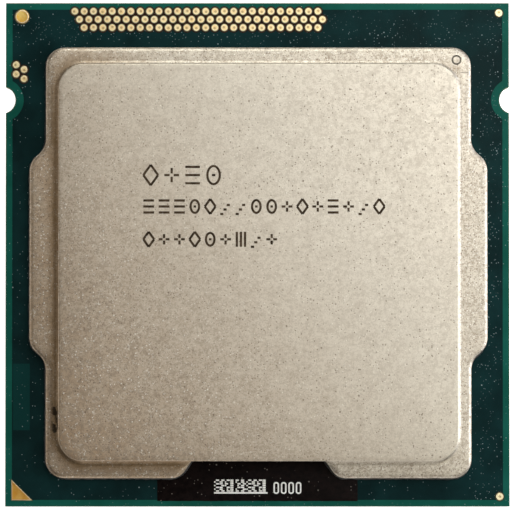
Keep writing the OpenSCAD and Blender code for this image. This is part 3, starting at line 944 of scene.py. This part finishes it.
def window(bm, low, high):
    """The opening in the mask under the die."""
    lo, hi = cad_boxes("silicon_die")[0]
    outline = [Vector(p) for p in ((lo.x, lo.y), (hi.x, lo.y), (hi.x, hi.y), (lo.x, hi.y))]
    sheet(bm, outline, low, high)


def top_mask():
    """The lower level of mask, the raised level over the copper, and the pads' surrounds."""
    low = height("solder_mask_top", False)
    high = height("solder_mask_top", True)
    ledge = high - MASK_STEP
    edge = cad_outlines("solder_mask_top", high)[0]
    step = cad_outlines("copper_plane_top", height("copper_plane_top", True))[0]
    inset = grow(edge, outward(edge), -EDGE_GAP)
    for name, outline, foot, top, mask_edges, look, nodes in (
        ("mask_over_laminate", inset, low, ledge, True, "mask_low", ()),
        ("mask_over_copper", step, ledge, high, False, "mask_high", ("solder_mask_top",)),
    ):
        bm = bmesh.new()
        sheet(bm, outline, foot, top)
        cutter = openings(low - 1, high + 1, mask_edges)
        window(cutter, low - 1, high + 1)
        piece(name, carved(bm, cutter), "solder_mask", *nodes, look=look)
    surround = openings(ledge, ledge + SURROUND_STEP, False)
    surround = carved(surround, openings(low - 1, high + 1, True))
    piece("pad_surrounds", surround, "solder_mask", look="pad_surround")


# ---- gold pads

PROBE_R = 0.09


def pads(name, node, look, rim, probed=True):
    """Flat round pads with a soft raised rim, and a probe mark off the middle if probed."""
    chance = random.Random(node)
    bm = bmesh.new()
    mark = bm.verts.layers.float.new("mark")
    wear_and_highlight = bm.verts.layers.float.new("wear_and_highlight")
    for lo, hi in cad_boxes(node):
        x, y = middle(lo, hi)
        r = (hi.x - lo.x) / 2
        face = hi.z - 0.002
        dx, dy = chance.uniform(-0.05, 0.05), chance.uniform(-0.05, 0.05)
        profile = [
            (r, lo.z, 0, 1), (r, hi.z - 0.014, 0, 1), (r - 0.025, hi.z - 0.002, 0, 0.8),
            (r - rim, hi.z, 0, 0), (r - rim - 0.02, face, 0, 0),
        ]
        if probed:
            profile += [
                (PROBE_R, face, 1, 0.2), (0.75 * PROBE_R, face + 0.002, 1, 1),
                (0.5 * PROBE_R, face - 0.01, 1, 1), (0.2 * PROBE_R, face - 0.011, 1, 0.4),
            ]
        rings = []
        for radius, z, share, stain in profile:
            circle = arc(x + dx * share, y + dy * share, radius, 0, 360, 28)[:-1]
            rings.append(add_ring(bm, circle, z))
            for v in rings[-1]:
                v[mark] = stain
        # The raised rim's ring gets a painted highlight
        for v in rings[3]:
            v[wear_and_highlight] = 1.0
        loft(bm, rings)
    return piece(name, bm, "gold", node, look=look)


def pin_one_triangle():
    """The corner triangle, with its edges rounded over."""
    lo, hi = cad_boxes("pin_one_triangle")[0]
    bm = bmesh.new()
    wear_and_highlight = bm.verts.layers.float.new("wear_and_highlight")
    outline = [Vector((lo.x, lo.y)), Vector((hi.x, lo.y)), Vector((lo.x, hi.y))]
    centre = lo.xy.lerp(hi.xy, 0.29)
    steps = [(1.0, lo.z), (1.0, hi.z - 0.006), (0.98, hi.z - 0.001), (0.93, hi.z),
             (0.86, hi.z - 0.003)]
    rings = [add_ring(bm, [centre.lerp(p, share) for p in outline], z) for share, z in steps]
    # The rounded edges get a painted highlight
    for v in rings[2] + rings[3]:
        v[wear_and_highlight] = 0.7
    loft(bm, rings)
    return piece("corner_mark", bm, "gold", "pin_one_triangle", look="corner_gold")


top_mask()
pads("test_pads_top", "test_pads_top_edge", "pale_gold", 0.045)
pads("test_pads_left", "test_pads_side", "pale_gold", 0.045)
pads("large_pad", "large_round_pad", "deep_gold", 0.09, probed=False)
pads("corner_pads", "alignment_pads", "cream_gold", 0.05)
pin_one_triangle()


# ---- printed patch

SOFT_EDGE = 0.004
DIGIT_STROKE = 0.11
DASH_R = 0.03


def film(bm, outline, normals, low, high):
    """A thin printed shape whose upper edge is rounded off."""
    loft(bm, [
        add_ring(bm, outline, low), add_ring(bm, outline, high - SOFT_EDGE / 2),
        add_ring(bm, grow(outline, normals, -SOFT_EDGE), high),
    ])


def marking_patch():
    """The black patch, whose printed outline wanders a little."""
    lo, hi = cad_boxes("marking_patch")[0]
    chance = random.Random(7)
    outline = rounded(hi.x - lo.x, hi.y - lo.y, 0.06, 3)
    outline = subdivided(moved(outline, *middle(lo, hi)), 0.15)
    normals = outward(outline)
    outline = [p - n * 0.02 * chance.random() for p, n in zip(outline, normals)]
    bm = bmesh.new()
    film(bm, outline, normals, lo.z, hi.z)
    return piece("black_patch", bm, "black_ink", "marking_patch", look="black_ink")


def code_marks():
    """The dashes and the four rings of white print, with soft corners."""
    bm = bmesh.new()
    for lo, hi in cad_boxes("code_marks"):
        w, l = hi.x - lo.x, hi.y - lo.y
        x, y = middle(lo, hi)
        if l < w or l < 3 * DIGIT_STROKE:
            outline = moved(rounded(w, l, DASH_R), x, y)
            film(bm, outline, outward(outline), lo.z, hi.z)
            continue
        outer = moved(rounded(w, l, 0.45 * w, 6), x, y)
        inner = grow(outer, outward(outer), -DIGIT_STROKE)
        tube(bm, [(outer, lo.z), (outer, hi.z), (inner, hi.z), (inner, lo.z)])
    return piece("white_marks", bm, "white_print", "code_marks", look="white_print")


marking_patch()
code_marks()


# ---- underside

LAND_R = 0.16
# A land's scrub mark and the mark's deepest part: width, length and corner radius
SCRUB = (0.16, 0.26, 0.07)
SCRUB_CORE = (0.09, 0.18, 0.04)
# The mask's web: the gap round each land, and how far it is set in below and above
WEB_GAP = 0.05
WEB_RECESS = 0.001
WEB_UPPER_GAP = 0.005
# The fillets: how steep their curve is, how far their ends are set in, and the ends' size
FILLET_CURVE = 2.2
FILLET_INSET = 0.02
FILLET_ROUND = 0.06
FILLET_END = 0.93


def land_centres():
    return [(lo + hi) / 2 for lo, hi in cad_boxes("contact_lands")]


def contact_lands():
    """Every land with round corners, a soft edge and the scrub mark of a socket contact."""
    lo, hi = cad_boxes("contact_lands")[0]
    w, l = hi.x - lo.x, hi.y - lo.y
    chance = random.Random(11)
    outer = rounded(w, l, LAND_R, 2)
    soft = rounded(w - 0.05, l - 0.05, LAND_R - 0.02, 2)
    scrub = rounded(*SCRUB, 2)
    core = rounded(*SCRUB_CORE, 2)
    bm = bmesh.new()
    mark = bm.verts.layers.float.new("mark")
    for centre in land_centres():
        x, y = centre.x, centre.y
        sx, sy = x + chance.uniform(-0.05, 0.05), y + chance.uniform(-0.07, 0.07)
        sections = [
            (outer, x, y, hi.z), (outer, x, y, lo.z + 0.006), (soft, x, y, lo.z),
            (scrub, sx, sy, lo.z), (core, sx, sy, lo.z + 0.006),
        ]
        rings = [add_ring(bm, moved(points, *at), z) for points, *at, z in sections]
        for v in rings[-1]:
            v[mark] = 0.6
        loft(bm, rings)
    return piece("lands", bm, "gold", "contact_lands", look="pale_gold")


def web_tile(opening, pitch):
    """The opening's outline pushed out to the square of one grid place, corners included."""
    tile = [p * (pitch / 2 / max(abs(p.x), abs(p.y))) for p in opening]
    for corner in (Vector(p) * pitch / 2 for p in ((1, -1), (1, 1), (-1, 1), (-1, -1))):
        nearest = min(range(len(tile)), key=lambda i: (tile[i] - corner).length)
        tile[nearest] = corner
    return tile


def place_key(point):
    """A rounded place in the board's plane, for looking points up."""
    return round(point.x, 2), round(point.y, 2)


def close_rim(bm, level):
    """Joins the outer edges of a sheet's two faces, which lie below and above a level."""
    rim_edges = [e for e in bm.edges if e.is_boundary and e.verts[0].co.z < level]
    above = {place_key(v.co): v for v in bm.verts if v.co.z > level}
    for e in rim_edges:
        a, b = e.verts
        bm.faces.new((a, b, above[place_key(b.co)], above[place_key(a.co)]))


def mask_web():
    """The mask between the lands: one sheet with an opening at each land."""
    lo, hi = cad_boxes("contact_lands")[0]
    opening = rounded(hi.x - lo.x + 2 * WEB_GAP, hi.y - lo.y + 2 * WEB_GAP, LAND_R, 2)
    centres = land_centres()
    columns = sorted({round(c.x, 3) for c in centres})
    pitch = (columns[-1] - columns[0]) / (len(columns) - 1)
    places = [(i + 0.5) * pitch - len(columns) * pitch / 2 for i in range(len(columns))]
    taken = {place_key(c) for c in centres}
    rim, island = sorted(cad_boxes("solder_mask_bottom"), key=lambda b: b[0].x)
    low, high = rim[0].z + WEB_RECESS, rim[1].z - WEB_UPPER_GAP
    tile = web_tile(opening, pitch)
    bm = bmesh.new()
    for x in places:
        for y in places:
            if island[0].x < x < island[1].x and island[0].y < y < island[1].y:
                continue
            edge = moved(tile, x, y)
            if place_key(Vector((x, y))) in taken:
                hole = moved(opening, x, y)
                outlines = [(edge, high), (hole, high), (hole, low), (edge, low)]
                rings = [add_ring(bm, points, z) for points, z in outlines]
                loft(bm, rings, capped=False)
            else:
                bm.faces.new(add_ring(bm, edge, low))
                bm.faces.new(add_ring(bm, edge, high))
    bmesh.ops.remove_doubles(bm, verts=bm.verts, dist=1e-3)
    close_rim(bm, (low + high) / 2)
    land_field = bmesh.new()
    sheet(land_field, cad_outlines("solder_mask_bottom", rim[0].z)[1], low - 1, high + 1)
    bm = carved(bm, land_field, "INTERSECT", overlapping=False)
    return piece("mask_between_lands", bm, "solder_mask", look="mask_high", smooth=False)


def soft_box(bm, lo, hi, r):
    """A box with all its edges rounded by r."""
    w, l = hi.x - lo.x, hi.y - lo.y
    x, y = middle(lo, hi)
    rings = []
    for level, inset in ((0, 1.0), (0.3, 0.3), (1, 0.0)):
        points = rounded(w - 2 * r * inset, l - 2 * r * inset, r, 2)
        rings.append((moved(points, x, y), r * level))
    lower = [add_ring(bm, points, lo.z + z) for points, z in rings]
    upper = [add_ring(bm, points, hi.z - z) for points, z in reversed(rings)]
    loft(bm, lower + upper)


def fillet(bm, lo, hi, metal_lo, metal_hi):
    """One solder joint's concave fillet up the outer face of a metal end."""
    outer_side = lo.x + hi.x > metal_lo.x + metal_hi.x
    inner, outer = (lo.x, hi.x) if outer_side else (hi.x, lo.x)
    wall = metal_hi.x if outer_side else metal_lo.x
    foot = metal_hi.z
    joint = [Vector((inner, hi.z)), Vector((inner, foot)), Vector((wall, foot))]
    for t in (i / 5 for i in range(6)):
        out = (outer - wall) * t ** FILLET_CURVE
        rise = (foot - lo.z) * (1 - (1 - t) ** FILLET_CURVE)
        joint.append(Vector((wall + out, lo.z + rise)))
    joint.append(Vector((outer, hi.z)))
    sections = [
        (lo.y + FILLET_INSET, FILLET_END), (lo.y + FILLET_ROUND, 1.0),
        (hi.y - FILLET_ROUND, 1.0), (hi.y - FILLET_INSET, FILLET_END),
    ]
    rings = []
    for y, share in sections:
        points = [(wall + (p.x - wall) * share, y, foot + (p.y - foot) * share) for p in joint]
        rings.append([bm.verts.new(p) for p in points])
    loft(bm, rings)


def capacitors():
    """Ceramic bodies and metal ends with rounded edges, and hollow solder fillets."""
    for name, node, slot, r in (
        ("capacitor_ceramics", "capacitor_bodies", "ceramic", 0.03),
        ("capacitor_ends", "capacitor_terminals", "solder", 0.05),
    ):
        bm = bmesh.new()
        for lo, hi in cad_boxes(node):
            soft_box(bm, lo, hi, r)
        piece(name, bm, slot, node, look=slot)
    ends = cad_boxes("capacitor_terminals")
    bm = bmesh.new()
    for lo, hi in cad_boxes("capacitor_solder"):
        nearest = min(ends, key=lambda b: (b[0].xy + b[1].xy - lo.xy - hi.xy).length)
        fillet(bm, lo, hi, *nearest)
    piece("capacitor_fillets", bm, "solder", "capacitor_solder", look="solder")


contact_lands()
mask_web()
capacitors()


# ---- carried-over parts

CARRIED = {
    "substrate_core": "laminate",
    "buildup_layers_top": "buildup",
    "buildup_layers_bottom": "buildup",
    "core_vias": "copper",
    "copper_plane_top": "copper",
    "copper_plane_bottom": "copper",
    "capacitor_pads": "pale_gold",
    "die_bumps": "solder",
    "die_underfill": "underfill",
    "silicon_die": "silicon",
    "thermal_paste": "paste",
    "sealant_bead": "sealant",
    "solder_mask_bottom": "mask_high",
}

for carried, look in CARRIED.items():
    slots = CAD[carried].material_slots
    if not slots:
        CAD[carried].data.materials.append(MATERIALS[look])
    for material_slot in slots:
        material_slot.material = MATERIALS[look]


# ---- floor, lights and camera

BOARD_TOP = height("solder_mask_top", True)
VIEW_HEIGHT = 180.0
VIEW_TILT = 1.0
VIEW_CENTRE = Vector((-0.105, -0.12, 0.0))
SENSOR = 36.0
VIEW_WIDTH = 38.11
FLOOR_W = 1600
FLOOR_GAP = 0.05


def floor():
    """A broad white floor just under the part, outside the model."""
    z = height("capacitor_terminals", False) - FLOOR_GAP
    bm = bmesh.new()
    sheet(bm, rounded(FLOOR_W, FLOOR_W, FLOOR_W / 4, 12), z - 2.0, z)
    mesh = in_metres("floor", bm)
    m = Material("white_floor", Emission_Color=(1, 1, 1, 1), Emission_Strength=1.0)
    cloud = m.noise(0.02, detail=2.0)
    color = m.mix(cloud, (0.90, 0.90, 0.90, 1), (0.94, 0.94, 0.94, 1))
    mesh.materials.append(m.finish(color, 0.8))
    link("floor", mesh)


# Place and side in millimetres, then power in watts and colour
SOFTBOXES = {
    "overhead": ((0, 0, 330), 120, 0.05, (1.0, 1.0, 1.0)),
    "main": ((60, 50, 220), 80, 0.094, (1.0, 1.0, 0.97)),
    "corner": ((110, 110, 120), 90, 0.039, (0.9, 0.9, 1.0)),
    "far": ((0, 140, 130), 100, 0.13, (0.98, 1.0, 0.95)),
    "front_right": ((60, -60, 130), 80, 0.024, (1.0, 0.98, 0.85)),
    "left": ((-90, 40, 150), 90, 0.009, (1.0, 0.92, 0.82)),
    "right_wall": ((150, 0, 60), 140, 0.21, (0.93, 0.96, 1.0)),
    "left_wall": ((-150, 0, 80), 120, 0.024, (1.0, 0.95, 0.85)),
    "front_wall": ((0, -150, 80), 120, 0.036, (1.0, 0.96, 0.9)),
}
WORLD_COLOR = (1.0, 0.9, 0.8, 1)
WORLD_STRENGTH = 0.03


def softbox(name, at, side, power, color):
    """A square area light that faces the middle of the board."""
    data = bpy.data.lights.new(name, "AREA")
    data.shape = "SQUARE"
    data.size = side * MM
    data.energy = power
    data.color = color
    obj = link(name, data)
    obj.location = Vector(at) * MM
    obj.rotation_euler = Vector(at).to_track_quat("Z", "Y").to_euler()
    obj.visible_camera = False


def studio():
    for name, settings in SOFTBOXES.items():
        softbox(name, *settings)
    world = bpy.data.worlds.new("studio")
    world.use_nodes = True
    background = world.node_tree.nodes["Background"]
    background.inputs["Color"].default_value = WORLD_COLOR
    background.inputs["Strength"].default_value = WORLD_STRENGTH
    bpy.context.scene.world = world
    bpy.context.scene.view_settings.view_transform = "Standard"


def camera():
    data = bpy.data.cameras.new("camera")
    data.sensor_width = SENSOR
    data.lens = SENSOR * VIEW_HEIGHT / VIEW_WIDTH
    data.clip_start = 0.01
    data.clip_end = 5.0
    obj = link("camera", data)
    tilt = math.radians(VIEW_TILT)
    away = Vector((0, -math.sin(tilt), math.cos(tilt))) * VIEW_HEIGHT
    obj.location = (VIEW_CENTRE + away + Vector((0, 0, BOARD_TOP))) * MM
    obj.rotation_euler = (tilt, 0, 0)
    bpy.context.scene.camera = obj


floor()
studio()
camera()
